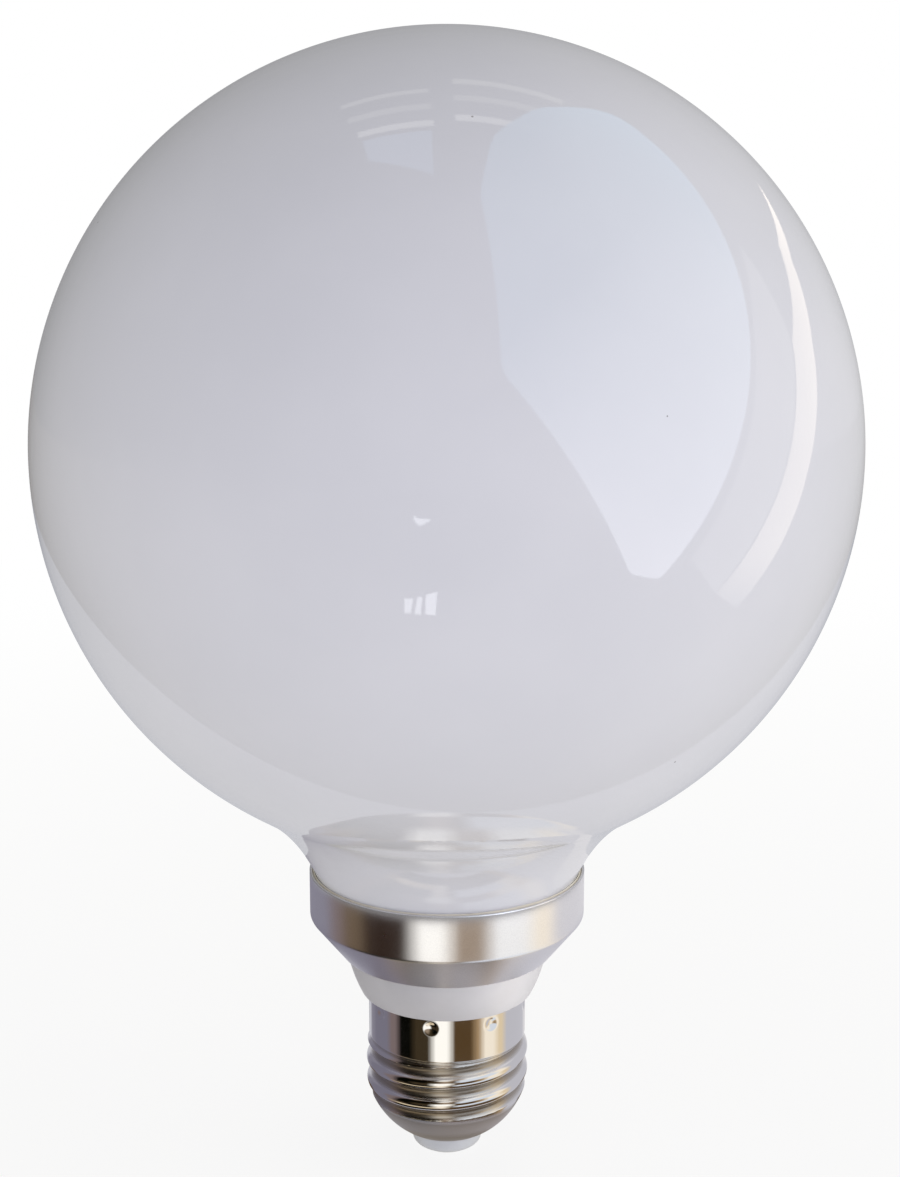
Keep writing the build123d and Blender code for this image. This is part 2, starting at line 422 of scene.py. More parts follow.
flare_start = 180 - math.degrees(math.asin(CUT_HEIGHT / FLARE_R))
flare_end = math.degrees(math.atan2(BALL_Z - FLARE_CENTRE[1], -FLARE_CENTRE[0]))
flare = arc(FLARE_CENTRE, FLARE_R, flare_start, flare_end, FLARE_STEPS)
cut_end = divided(rounded((0, globe_low.z), (*flare[0], CUT_EDGE_R), flare[1]))
ball = arc((0, BALL_Z), BALL_R, flare_end - 180, 90, BALL_STEPS)
globe = lathe("opal_globe", cut_end + flare[2:] + ball[1:])
globe.data.materials.append(opal_glass())
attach(globe, "root")
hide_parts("globe")

# %% [markdown]
# ## Collar
# The collar is a turned ring: a cone that grows out of the neck, a rounded knee, an upright band and a thin
# lip round the glass. Its edges are rounded as a lathe tool leaves them, because a rounded edge catches a
# line of light that a sharp one can't. A Bevel modifier could round them all alike, but each has a radius of
# its own, so the radii are written into the outline. The glass sits on the floor of the socket, and the
# neck's spigot fills the bore below.

# %% Collar
collar_low, collar_high = (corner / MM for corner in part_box("collar"))
COLLAR_R = collar_high.x
CONE_BOTTOM_R = 17.1
KNEE_Z = collar_low.z + 6.15
KNEE_R = 0.8
LIP_WALL = 0.45
LIP_EDGE_R = 0.16
FOOT_EDGE_R = 0.15
GROOVE_Z = collar_high.z - 3.0
SOCKET_R = 20.32
SPIGOT_BORE_R = 15.0
BORE_TOP_Z = globe_low.z - 1.9

collar_outline = rounded(
    (0, BORE_TOP_Z),
    (SPIGOT_BORE_R, BORE_TOP_Z),
    (SPIGOT_BORE_R, collar_low.z),
    (CONE_BOTTOM_R, collar_low.z, FOOT_EDGE_R),
    (COLLAR_R, KNEE_Z, KNEE_R),
    (COLLAR_R, collar_high.z, LIP_EDGE_R),
    (COLLAR_R - LIP_WALL, collar_high.z, LIP_EDGE_R),
    (COLLAR_R - LIP_WALL, GROOVE_Z),
    (SOCKET_R, GROOVE_Z),
    (SOCKET_R, globe_low.z),
    (0, globe_low.z),
)
collar = lathe("collar_ring", divided(collar_outline))
collar.data.materials.append(satin_aluminium())
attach(collar, "root")
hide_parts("collar")

# %% [markdown]
# ## Bead of adhesive
# A ring of cream adhesive fills the groove between the glass and the lip, and wets the glass a little above
# it. A torus could stand for it, but the bead follows the flare of the glass, so its outline is taken from
# the same arc. It is laid by hand, so its top isn't quite even: the lathe makes the ring, and then the upper
# points are lowered a little by waves round the axis, which meet themselves after a full turn.

# %% Seal bead
bead_low, bead_high = (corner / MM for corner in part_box("seal_bead"))
GLUE_GAP = 0.03
BEAD_RECESS = 0.1
BEAD_STEPS = 31
BEAD_ROOT = 1.0
BEAD_WAVES = ((2, 0.03), (5, 0.025), (11, 0.015), (23, 0.01))


def glass_radius(z):
    return FLARE_CENTRE[0] - math.sqrt(FLARE_R ** 2 - (z - FLARE_CENTRE[1]) ** 2)


heights = [bead_high.z + (bead_low.z - bead_high.z) * n / BEAD_STEPS for n in range(BEAD_STEPS + 1)]
bead_inside = [(glass_radius(z) + GLUE_GAP, z) for z in heights]
bead_outline = [(bead_high.x, bead_low.z), (bead_high.x, collar_high.z - BEAD_RECESS), *bead_inside]
bead = lathe("seal_ring", bead_outline, closed=True)
wave_top = sum(size for _, size in BEAD_WAVES)
for vertex in bead.data.vertices:
    if vertex.co.z > (bead_low.z + BEAD_ROOT) * MM:
        angle = math.atan2(vertex.co.y, vertex.co.x)
        wave = sum(size * math.cos(count * angle + count) for count, size in BEAD_WAVES)
        vertex.co.z += (wave - wave_top) * MM
bead.data.materials.append(cream_adhesive())
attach(bead, "root")
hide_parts("seal_bead")

# %% [markdown]
# ## Moulded neck
# The white neck insulates the collar from the live cap. Its side swells a little between the cap and the
# collar, its lower edge is rounded where it overhangs the cap, and its lower end reaches down inside the
# shell. A plain cone would do from afar, but the swelling bends the light on it, so the side is a row of
# points pushed out along a parabola.

# %% Neck
neck_low, neck_high = (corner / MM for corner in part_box("neck_insulator"))
shell_low, shell_high = (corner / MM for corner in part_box("screw_shell"))
CUP_BOTTOM_R = 13.8
CUP_TOP_R = 16.2
CUP_BULGE = 0.3
CUP_EDGE_R = 0.5
CUP_TOP_EDGE_R = 0.12
SPIGOT_R = 14.9
SLEEVE_R = 12.35
SLEEVE_LENGTH = 6.4
CORE_R = 11.7
CORE_END_R = 8.8
CORE_TAPER_Z = shell_low.z + 6.5
CUP_STEPS = 24
CUP_TRIM = 4

cup_bottom = Vector((CUP_BOTTOM_R, shell_high.z))
cup_top = Vector((CUP_TOP_R, collar_low.z))
cup_side = (cup_top - cup_bottom).normalized()
cup_out = Vector((cup_side.y, -cup_side.x))
cup = []
for step in range(CUP_TRIM, CUP_STEPS + 1 - CUP_TRIM):
    share = step / CUP_STEPS
    swell = CUP_BULGE * 4 * share * (1 - share)
    cup.append(tuple(cup_bottom.lerp(cup_top, share) + cup_out * swell))
lower = rounded(
    (0, neck_low.z),
    (CORE_END_R, neck_low.z),
    (CORE_R, CORE_TAPER_Z),
    (CORE_R, shell_high.z - SLEEVE_LENGTH),
    (SLEEVE_R, shell_high.z - SLEEVE_LENGTH),
    (SLEEVE_R, shell_high.z),
    (*cup_bottom, CUP_EDGE_R),
    cup[0],
)
upper = rounded(
    cup[-1],
    (*cup_top, CUP_TOP_EDGE_R),
    (SPIGOT_R, collar_low.z),
    (SPIGOT_R, neck_high.z),
    (0, neck_high.z),
)
neck_piece = lathe("neck_moulding", divided(lower[:-1]) + cup[:-1] + divided(upper))
neck_piece.data.materials.append(white_moulding())
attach(neck_piece, "root")
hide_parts("neck_insulator")

# %% [markdown]
# ## Rolled shell, by rule
# The cap is rolled sheet. A Screw modifier could wind its thread, but it can't let the thread run out at both
# ends. The thread follows a rule: at any angle and height the radius is known, so the shell is made by
# Geometry Nodes. A flat grid is wrapped round the axis, and a field works out the radius of each point. A
# class called Flow keeps that readable: arithmetic on a Flow adds Math nodes to the tree, so the formula can
# be read as a formula. Smooth minimum and maximum round off the places where the thread runs out into the
# band and the dome, as rolled sheet does.

# %% Flow
class Flow:
    """A number that flows through a node tree; arithmetic on it adds Math nodes."""

    def __init__(self, tree, socket):
        self.tree = tree
        self.socket = socket

    def math(self, operation, *others):
        node = self.tree.nodes.new("ShaderNodeMath")
        node.operation = operation
        for slot, value in zip(node.inputs, (self, *others)):
            if isinstance(value, Flow):
                self.tree.links.new(value.socket, slot)
            else:
                slot.default_value = value
        return Flow(self.tree, node.outputs[0])

    def __add__(self, other):
        return self.math("ADD", other)

    def __sub__(self, other):
        return self.math("SUBTRACT", other)

    def __mul__(self, other):
        return self.math("MULTIPLY", other)

    def __truediv__(self, other):
        return self.math("DIVIDE", other)

    def __neg__(self):
        return self.math("MULTIPLY", -1.0)

    def above_zero(self):
        return self.math("MAXIMUM", 0.0)

    def square(self):
        return self.math("MULTIPLY", self)

    def root(self):
        return self.math("SQRT")


print("Flow adds Math nodes")

# %% [markdown]
# The tree has a named input for each size, so the same tree could roll another cap. The thread's wave is two
# arcs that touch: a round crest and a round root. Which arc a point is on depends on how far it lies, along
# the axis, from the nearest crest, and the crests climb one pitch in a turn.

# %% Shell sizes
SHELL_SIZES = {
    "Crest radius": 13.15,
    "Thread depth": 1.05,
    "Pitch": 3.629,
    "Crest height": 17.25,
    "Band radius": 12.7,
    "Band bottom": 20.05,
    "Run-out slope": 0.6,
    "Fade start": 18.05,
    "Fade slope": 0.778,
    "Dome centre radius": 0.522,
    "Dome centre height": 14.65,
    "Dome radius": 12.878,
    "Dent height": 25.65,
    "Dent centre radius": 14.15,
    "Dent ball radius": 1.8,
    "First dent": math.radians(33.5),
    "Dent spacing": TURN / 8,
}
BLEND = 0.22
DENT_BLEND = 0.34

shell_tree = bpy.data.node_groups.new("rolled_shell", "GeometryNodeTree")
shell_tree.is_modifier = True
shell_tree.interface.new_socket("Geometry", in_out="OUTPUT", socket_type="NodeSocketGeometry")
shell_inputs = {}
for label in SHELL_SIZES:
    socket = shell_tree.interface.new_socket(label, in_out="INPUT", socket_type="NodeSocketFloat")
    shell_inputs[label] = socket.identifier
group_in = shell_tree.nodes.new("NodeGroupInput")
size = {label: Flow(shell_tree, group_in.outputs[label]) for label in SHELL_SIZES}
print("shell tree with", len(shell_inputs), "named sizes")


# %% Radius of the shell
def thread_radius(angle, height, inset):
    """Radius of the endless thread, drawn in by inset."""
    quarter = size["Pitch"] / 4
    half = size["Pitch"] / 2
    depth = size["Thread depth"]
    wave = (quarter.square() + (depth / 2).square()) / depth
    crest_centre = size["Crest radius"] - wave
    root_centre = size["Crest radius"] - depth + wave
    climb = height - size["Crest height"] - angle * size["Pitch"] / TURN
    away = climb.math("WRAP", half, -half).math("ABSOLUTE")
    crest = crest_centre + ((wave - inset).square() - away.square()).root()
    groove = root_centre - ((wave + inset).square() - (half - away).square()).root()
    in_groove = away.math("GREATER_THAN", (wave - inset) * quarter / wave)
    return crest + (groove - crest) * in_groove


def shell_radius(angle, height, inset):
    """Radius of the shell's skin, drawn in by inset: thread, dome, band and dents together."""
    thread = thread_radius(angle, height, inset)
    below = (size["Dome centre height"] - height).above_zero()
    dome = size["Dome centre radius"] + ((size["Dome radius"] - inset).square() - below.square()).root()
    rise = (height - size["Fade start"]).above_zero()
    fade = size["Dome centre radius"] + size["Dome radius"] - inset - rise * size["Fade slope"]
    rolled = thread.math("SMOOTH_MIN", dome.math("MINIMUM", fade), BLEND)
    under = (size["Band bottom"] - height).above_zero()
    band = size["Band radius"] - inset - under * size["Run-out slope"]
    skin = rolled.math("SMOOTH_MAX", band, BLEND)
    spacing = size["Dent spacing"] / 2
    side = (angle - size["First dent"]).math("WRAP", spacing, -spacing) * size["Band radius"]
    off = side.square() + (height - size["Dent height"]).square()
    ball = size["Dent centre radius"] - ((size["Dent ball radius"] + inset).square() - off).root()
    return skin.math("SMOOTH_MIN", ball, DENT_BLEND)


print("radius rules: thread_radius, shell_radius")

# %% Wrapped grids
COLUMNS = 300


def wrapped_grid(rows, radius_of, height_of):
    """Grid wrapped once round the axis, by the rules height_of(along) and radius_of(angle, along, height)."""
    nodes, links = shell_tree.nodes, shell_tree.links
    grid = nodes.new("GeometryNodeMeshGrid")
    grid.inputs["Size X"].default_value = 1.0
    grid.inputs["Size Y"].default_value = 1.0
    grid.inputs["Vertices X"].default_value = COLUMNS + 1
    grid.inputs["Vertices Y"].default_value = rows + 1
    place = nodes.new("GeometryNodeInputPosition")
    split = nodes.new("ShaderNodeSeparateXYZ")
    links.new(place.outputs[0], split.inputs[0])
    angle = (Flow(shell_tree, split.outputs["X"]) + 0.5) * TURN
    along = Flow(shell_tree, split.outputs["Y"]) + 0.5
    height = height_of(along)
    radius = radius_of(angle, along, height)
    joined = nodes.new("ShaderNodeCombineXYZ")
    links.new((radius * angle.math("COSINE") * MM).socket, joined.inputs["X"])
    links.new((radius * angle.math("SINE") * MM).socket, joined.inputs["Y"])
    links.new((height * MM).socket, joined.inputs["Z"])
    groove = nodes.new("GeometryNodeStoreNamedAttribute")
    groove.inputs["Name"].default_value = "groove"
    groove.domain = "POINT"
    links.new(grid.outputs["Mesh"], groove.inputs["Geometry"])
    depth = (size["Crest radius"] - radius) / size["Thread depth"]
    threaded = (size["Band bottom"] - height).math("GREATER_THAN", 0.0)
    links.new((depth * threaded).socket, groove.inputs["Value"])
    move = nodes.new("GeometryNodeSetPosition")
    links.new(groove.outputs["Geometry"], move.inputs["Geometry"])
    links.new(joined.outputs[0], move.inputs["Position"])
    return move.outputs["Geometry"]


def straight(start, end):
    """Height rule that goes evenly from one height to another."""
    return lambda along: along * (end - start) + start


def flat_ring(start, end):
    """Radius rule that goes evenly from one radius to another."""
    return lambda angle, along, height: along * (end - start) + start


def skin_ring(inset):
    """Radius rule that follows the shell's skin."""
    return lambda angle, along, height: shell_radius(angle, height, inset)


print("wrapped_grid with", COLUMNS, "columns")

# %% [markdown]
# The shell is seven of those grids, walked once round its section: up the outside of the thread and of the
# band, over the top rim, down the inside, then in over the lip, through the hole and back out underneath. The
# thread gets the finest rows, because a mirror shows every facet. The edges of the grids meet, so merging by
# distance leaves one closed wall.

# %% Rings of the shell
SHELL_WALL = 0.3
TIP_HOLE_R = 5.7
RUN_OUT_LENGTH = 0.75
BAND_R = SHELL_SIZES["Band radius"]
LIP_Z = shell_low.z
LIP_TOP_Z = shell_low.z + SHELL_WALL
THREAD_TOP_Z = SHELL_SIZES["Band bottom"] + RUN_OUT_LENGTH
TOP_Z = shell_high.z
THREAD_ROWS = 244
BAND_ROWS = 36
INSIDE_ROWS = 36
EDGE_ROWS = 1
LIP_TOP_ROWS = 2
LIP_UNDER_ROWS = 4


def dome_edge(height, inset):
    """Radius where the dome's arc ends at a height."""
    drop = SHELL_SIZES["Dome centre height"] - height
    reach = math.sqrt((SHELL_SIZES["Dome radius"] - inset) ** 2 - drop ** 2)
    return SHELL_SIZES["Dome centre radius"] + reach


lip_top = flat_ring(dome_edge(LIP_TOP_Z, SHELL_WALL), TIP_HOLE_R)
lip_under = flat_ring(TIP_HOLE_R, dome_edge(LIP_Z, 0.0))
shell_rings = [
    wrapped_grid(THREAD_ROWS, skin_ring(0.0), straight(LIP_Z, THREAD_TOP_Z)),
    wrapped_grid(BAND_ROWS, skin_ring(0.0), straight(THREAD_TOP_Z, TOP_Z)),
    wrapped_grid(EDGE_ROWS, flat_ring(BAND_R, BAND_R - SHELL_WALL), straight(TOP_Z, TOP_Z)),
    wrapped_grid(INSIDE_ROWS, skin_ring(SHELL_WALL), straight(TOP_Z, LIP_TOP_Z)),
    wrapped_grid(LIP_TOP_ROWS, lip_top, straight(LIP_TOP_Z, LIP_TOP_Z)),
    wrapped_grid(EDGE_ROWS, flat_ring(TIP_HOLE_R, TIP_HOLE_R), straight(LIP_TOP_Z, LIP_Z)),
    wrapped_grid(LIP_UNDER_ROWS, lip_under, straight(LIP_Z, LIP_Z)),
]
print("shell of", len(shell_rings), "grids")

# %% Shell from the tree
MERGE_DISTANCE = 0.002

join = shell_tree.nodes.new("GeometryNodeJoinGeometry")
for ring in reversed(shell_rings):
    shell_tree.links.new(ring, join.inputs["Geometry"])
merge = shell_tree.nodes.new("GeometryNodeMergeByDistance")
merge.inputs["Distance"].default_value = MERGE_DISTANCE * MM
realize = shell_tree.nodes.new("GeometryNodeRealizeInstances")
nickel = nickel_plate()
paint = shell_tree.nodes.new("GeometryNodeSetMaterial")
paint.inputs["Material"].default_value = nickel
group_out = shell_tree.nodes.new("NodeGroupOutput")
chain = [join, merge, realize, paint, group_out]
for giver, taker in zip(chain, chain[1:]):
    shell_tree.links.new(giver.outputs["Geometry"], taker.inputs["Geometry"])

shell = mesh_object("rolled_cap", [], [])
modifier = shell.modifiers.new("rolled_shell", "NODES")
modifier.node_group = shell_tree
for label, value in SHELL_SIZES.items():
    modifier[shell_inputs[label]] = value
evaluated = shell.evaluated_get(bpy.context.evaluated_depsgraph_get())
plain_mesh = bpy.data.meshes.new_from_object(evaluated)
shell.modifiers.remove(modifier)
shell.data = plain_mesh
# The grids bring an empty material slot along, so the nickel is made the only one.
shell.data.materials.clear()
shell.data.materials.append(nickel)
smooth_piece(shell)
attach(shell, "root")
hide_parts("screw_shell")

# %% [markdown]
# ## Plug and contact
# A white plug closes the domed end, and a metal button is riveted through it. Both could be cylinders with a
# Bevel modifier, but the flange and the spread end of the rivet need an outline, and the lathe takes one.

# %% Plug and contact
plug_low, plug_high = (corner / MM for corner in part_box("tip_insulator"))
contact_low, contact_high = (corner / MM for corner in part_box("centre_contact"))
BOSS_R = 5.65
BOSS_EDGE_R = 1.1
FLANGE_R = plug_high.x
RIVET_R = 1.8
RIVET_HOLE_R = 1.85
RIVET_HEAD_R = 2.8
BUTTON_R = contact_high.x
BUTTON_EDGE_R = 0.2
TIP_STEP = 0.3
TIP_SEGMENTS = 160

plug_outline = rounded(
    (RIVET_HOLE_R, plug_low.z),
    (BOSS_R, plug_low.z, BOSS_EDGE_R),
    (BOSS_R, LIP_TOP_Z),
    (FLANGE_R, LIP_TOP_Z),
    (FLANGE_R, plug_high.z),
    (RIVET_HOLE_R, plug_high.z),
)
plug = lathe("tip_plug", divided(plug_outline, TIP_STEP), segments=TIP_SEGMENTS, closed=True)
plug.data.materials.append(tip_moulding())
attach(plug, "root")
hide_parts("tip_insulator")

contact_outline = rounded(
    (0, contact_low.z),
    (BUTTON_R, contact_low.z, BUTTON_EDGE_R),
    (BUTTON_R, plug_low.z),
    (RIVET_R, plug_low.z),
    (RIVET_R, plug_high.z),
    (RIVET_HEAD_R, plug_high.z),
    (RIVET_R, contact_high.z),
    (0, contact_high.z),
)
contact = lathe("contact_button", divided(contact_outline, TIP_STEP), segments=TIP_SEGMENTS)
contact.data.materials.append(contact_metal())
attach(contact, "root")
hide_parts("centre_contact")

# %% [markdown]
# ## Camera
# The photograph looks down on the lamp a little, from close by, which makes the globe look large and the cap
# small. The lens and the place were fitted to the outline: a 55 mm lens on a 36 mm frame, 273 mm from the
# axis.

# %% Camera
CAMERA_PLACE = (0.0, -272.93 * MM, 148.94 * MM)
CAMERA_TILT = 0.2008
CAMERA_PAN = -0.0018
CAMERA_FRAME = 36.0
CAMERA_LENS = 54.75

camera_data = bpy.data.cameras.new("camera")
camera_data.sensor_width = CAMERA_FRAME
camera_data.lens = CAMERA_LENS
camera = bpy.data.objects.new("camera", camera_data)
camera.location = CAMERA_PLACE
camera.rotation_euler = (math.pi / 2 - CAMERA_TILT, 0, CAMERA_PAN)
bpy.context.scene.collection.objects.link(camera)
bpy.context.scene.camera = camera
bpy.context.scene.view_settings.view_transform = "Standard"
print("camera", CAMERA_PLACE, "lens", camera_data.lens)

# %% [markdown]
# ## World and floor
# The background is plain white. A white backdrop could be lit until it clips, but that light would spill on
# the lamp. So the world shows white to the camera and to mirror-like surfaces, and gives the lamp a softer,
# dimmer light from all sides. The floor is a white board that glows a little by itself, less for the light
# that it throws back at the lamp than for the eye. The rest of its brightness comes from the light that
# reaches it, so the lamp's shadow stays. Its glow grows with the distance from the lamp, and far away the
# board is as white as the world behind it, so no horizon shows.

# %% World
AMBIENT = (1.0, 1.0, 0.97)
AMBIENT_STRENGTH = 0.51


def bare_tree(owner):
    """Empty node tree of a material or a world."""
    owner.use_nodes = True
    owner.node_tree.nodes.clear()
    return owner.node_tree


def seen_directly(tree):
    """1 for camera, glossy and transmission rays, and 0 for the rest."""
    path = tree.nodes.new("ShaderNodeLightPath")
    names = ("Is Camera Ray", "Is Glossy Ray", "Is Transmission Ray")
    eye, glossy, through = (Flow(tree, path.outputs[name]) for name in names)
    return eye.math("MAXIMUM", glossy).math("MAXIMUM", through)


def mix_surface(tree, output, share, first, second):
    """Mixes two shaders and sends the result to the tree's output; share is how much of the second."""
    mix = tree.nodes.new("ShaderNodeMixShader")
    out = tree.nodes.new(output)
    tree.links.new(share.socket, mix.inputs[0])
    tree.links.new(first.outputs[0], mix.inputs[1])
    tree.links.new(second.outputs[0], mix.inputs[2])
    tree.links.new(mix.outputs[0], out.inputs["Surface"])


def white_world():
    world = bpy.data.worlds.new("studio")
    tree = bare_tree(world)
    ambient = tree.nodes.new("ShaderNodeBackground")
    ambient.inputs["Color"].default_value = (*AMBIENT, 1)
    ambient.inputs["Strength"].default_value = AMBIENT_STRENGTH
    white = tree.nodes.new("ShaderNodeBackground")
    white.inputs["Color"].default_value = (1, 1, 1, 1)
    mix_surface(tree, "ShaderNodeOutputWorld", seen_directly(tree), ambient, white)
    return world


bpy.context.scene.world = white_world()
print("white world, ambient strength", AMBIENT_STRENGTH)

# %% Floor
FLOOR_COLOUR = (0.90, 0.88, 0.85)
FLOOR_GLOW = 0.86
FLOOR_BOUNCE = 0.45
FLOOR_FADE = (0.06, 0.45)
FADE_BLEND = 0.3
FLOOR_HALF = 6.0
FLOOR_CORNERS = ((-1, -1), (1, -1), (1, 1), (-1, 1))


def place_along(tree, axis):
    """Where a point lies along an axis of its own object, in metres."""
    place = tree.nodes.new("ShaderNodeTexCoord")
    split = tree.nodes.new("ShaderNodeSeparateXYZ")
    tree.links.new(place.outputs["Object"], split.inputs[0])
    return Flow(tree, split.outputs[axis])


def floor_board():
    material = bpy.data.materials.new("floor_board")
    tree = bare_tree(material)
    paper = tree.nodes.new("ShaderNodeBsdfDiffuse")
    paper.inputs["Color"].default_value = (*FLOOR_COLOUR, 1)
    white = tree.nodes.new("ShaderNodeEmission")
    x, y = place_along(tree, "X"), place_along(tree, "Y")
    away = ((x.square() + y.square()).root() - FLOOR_FADE[0]) / (FLOOR_FADE[1] - FLOOR_FADE[0])
    near = seen_directly(tree) * (FLOOR_GLOW - FLOOR_BOUNCE) + FLOOR_BOUNCE
    share = near + away.math("SMOOTH_MIN", 1.0, FADE_BLEND).above_zero() * (-near + 1.0)
    mix_surface(tree, "ShaderNodeOutputMaterial", share, paper, white)
    return material


def stage_mesh(name, vertices, faces):
    """Mesh that stands round the lamp and isn't part of it."""
    made = mesh_object(name, vertices, faces)
    return made


def flat_face(name, corners):
    """One flat face on the stage, through corners in metres."""
    return stage_mesh(name, corners, [tuple(range(len(corners)))])


floor = flat_face("floor", [(x * FLOOR_HALF, y * FLOOR_HALF, 0.0) for x, y in FLOOR_CORNERS])
floor.data.materials.append(floor_board())
print("floor", 2 * FLOOR_HALF, "m wide")

# %% [markdown]
# ## Studio cards
# A glossy thing looks like what stands round it. A picture of a room could be wrapped round the scene, but
# nothing in it could be moved to where its reflection is wanted. So the lamp stands among cards, as in a
# product studio: plain glowing or dark shapes that only mirror-like rays can see. They light nothing, cast no
# shadow and never show in the picture.

# %% Card helpers
def glow(name, low, high=None, axis="Z", reach=(0.0, 1.0)):
    """Glowing material; with two colours it fades along an axis between two places in metres."""
    material = bpy.data.materials.new(name)
    tree = bare_tree(material)
    material.cycles.emission_sampling = "NONE"
    emission = tree.nodes.new("ShaderNodeEmission")
    emission.inputs["Color"].default_value = (*low, 1)
    out = tree.nodes.new("ShaderNodeOutputMaterial")
    tree.links.new(emission.outputs[0], out.inputs["Surface"])
    if high:
        share = (place_along(tree, axis) - reach[0]) / (reach[1] - reach[0])
        faded = colour_mix(tree, share.math("MINIMUM", 1.0).above_zero().socket, low, high)
        tree.links.new(faded, emission.inputs["Color"])
    return material


def mirror_only(card, material):
    """Paints a card and shows it to mirror-like rays alone."""
    card.data.materials.append(material)
    card.visible_camera = False
    card.visible_diffuse = False
    card.visible_shadow = False
    card.visible_volume_scatter = False


def toward(azimuth, elevation):
    """Direction from the lamp: azimuth 0 points at the camera, 90 to its right."""
    a, e = math.radians(azimuth), math.radians(elevation)
    return Vector((math.sin(a) * math.cos(e), -math.cos(a) * math.cos(e), math.sin(e)))


def panel(name, aim, distance, corners):
    """Flat card that faces the globe from a direction; distance and (across, up) corners in millimetres."""
    out = toward(*aim)
    across = Vector((0, 0, 1)).cross(out).normalized()
    up = out.cross(across)
    middle = Vector((0, 0, BALL_Z)) + out * distance
    return flat_face(name, [(middle + across * x + up * y) * MM for x, y in corners])


def ring_quads(rows, columns):
    """Quads between rings of vertices, each ring closed on itself."""
    faces = []
    for low in range(0, rows * columns, columns):
        high = low + columns
        for n in range(columns):
            after = (n + 1) % columns
            faces.append((low + n, low + after, high + after, high + n))
    return faces


print("card helpers: glow, mirror_only, panel, ring_quads")

# %% [markdown]
# ### Room and opening
# The room is a large grey dome, dim on the left and lighter on the right, that keeps the rim of the glass
# from washing out against the white. The opening is a bright bluish card on the right. A pale strip runs
# along its edge, a hair farther away, and a warm strip beside that, a hair nearer, so that no two cards lie
# in one plane.

# %% Room and opening
ROOM_R = 2.4
ROOM_COLUMNS = 48
ROOM_ROWS = 24
ROOM_LEFT = (0.17, 0.17, 0.18)
ROOM_RIGHT = (0.58, 0.58, 0.60)
ROOM_REACH = (-1.5, 1.5)
SKY_LOW = (2.8, 2.9, 3.2)
SKY_HIGH = (0.85, 1.25, 1.6)
SKY_REACH = (0.05, 0.24)
SKY_AIM = (75, 25)
SKY_DISTANCE = 150
SKY_CORNERS = ((-128, -170, 10), (-92, -168, 14), (4, 0, 150), (84, 140, 30), (52, 196, 30), (-10, 222, 40),
               (-90, 194, 60), (-216, 51, 20))
PALE = (0.95, 0.95, 0.95)
PALE_DISTANCE = SKY_DISTANCE + 1
PALE_CORNERS = ((-62, -140), (-24, -175), (19, -72), (40, -17), (34, 30), (6, -4))
WARM = (2.3, 2.1, 1.85)
WARM_REACH = (0.01, 0.06)
WARM_DISTANCE = SKY_DISTANCE - 2
WARM_CORNERS = ((-22, -172), (15, -190), (48, -81), (72, -21), (101, 14), (200, 60), (90, 22), (40, -17),
                (19, -72))


def room_dome():
    """Ball round the whole studio, seen from inside."""
    aims = [(360 * column / ROOM_COLUMNS, -90 + 180 * row / ROOM_ROWS)
            for row in range(ROOM_ROWS + 1) for column in range(ROOM_COLUMNS)]
    vertices = [toward(*aim) * ROOM_R for aim in aims]
    return stage_mesh("room", vertices, ring_quads(ROOM_ROWS, ROOM_COLUMNS))


mirror_only(room_dome(), glow("room_grey", ROOM_LEFT, ROOM_RIGHT, "X", ROOM_REACH))
sky = panel("opening", SKY_AIM, SKY_DISTANCE, rounded(*SKY_CORNERS))
mirror_only(sky, glow("opening_blue", SKY_LOW, SKY_HIGH, "Z", SKY_REACH))
mirror_only(panel("pale_strip", SKY_AIM, PALE_DISTANCE, PALE_CORNERS), glow("pale_grey", PALE))
warm = panel("warm_strip", SKY_AIM, WARM_DISTANCE, WARM_CORNERS)
mirror_only(warm, glow("warm_white", PALE, WARM, "Z", WARM_REACH))
print("room", ROOM_R, "m in radius, opening", SKY_DISTANCE, "mm from the globe's centre")

# %% [markdown]
# ### Panes and bars
# Small lights give the glass its sparkle: four panes in front, which land a little below the middle of the
# globe, and bars and a skylight overhead, which land near its top.

# %% Panes and bars
PANES = (4.2, 4.3, 4.5)
UPPER_PANE_AIM = (-4.6, -6.2)
UPPER_PANE = ((-4.6, 2.9), (-3.0, 1.3), (4.2, 0.7), (1.2, -1.6), (-1.8, -2.5), (-4.6, 0.2))
LOWER_PANE_AIM = (-4.8, -23.0)
LOWER_PANES = (((-9.6, -5.0), (-6.5, -5.3), (-5.0, 3.1), (-9.5, 2.9)),
               ((-4.6, -5.5), (-1.5, -5.8), (-0.5, 4.3), (-2.7, 3.8)),
               ((0.7, -5.9), (5.8, -6.2), (7.2, 6.7), (1.4, 5.3)))
BAR_Z = 0.42
BAR_BLUE = 0.96
# Each bar: its left and right ends, its near edge, its width and its brightness.
BARS = {
    "bar_1": ((-0.096, -0.016), 0.068, 0.010, 0.95),
    "bar_2": ((-0.092, -0.014), 0.030, 0.012, 0.85),
    "bar_3": ((-0.085, -0.012), -0.004, 0.011, 1.6),
    "bar_4": ((0.005, 0.105), 0.090, 0.014, 0.95),
    "bar_5": ((0.006, 0.098), 0.048, 0.013, 0.85),
    "bar_6": ((0.008, 0.090), 0.006, 0.012, 1.6),
}
SKYLIGHT = (0.75, 0.95, 1.25)
SKYLIGHT_CORNERS = ((-0.082, -0.012), (-0.014, -0.012), (-0.014, -0.088), (-0.080, -0.050))

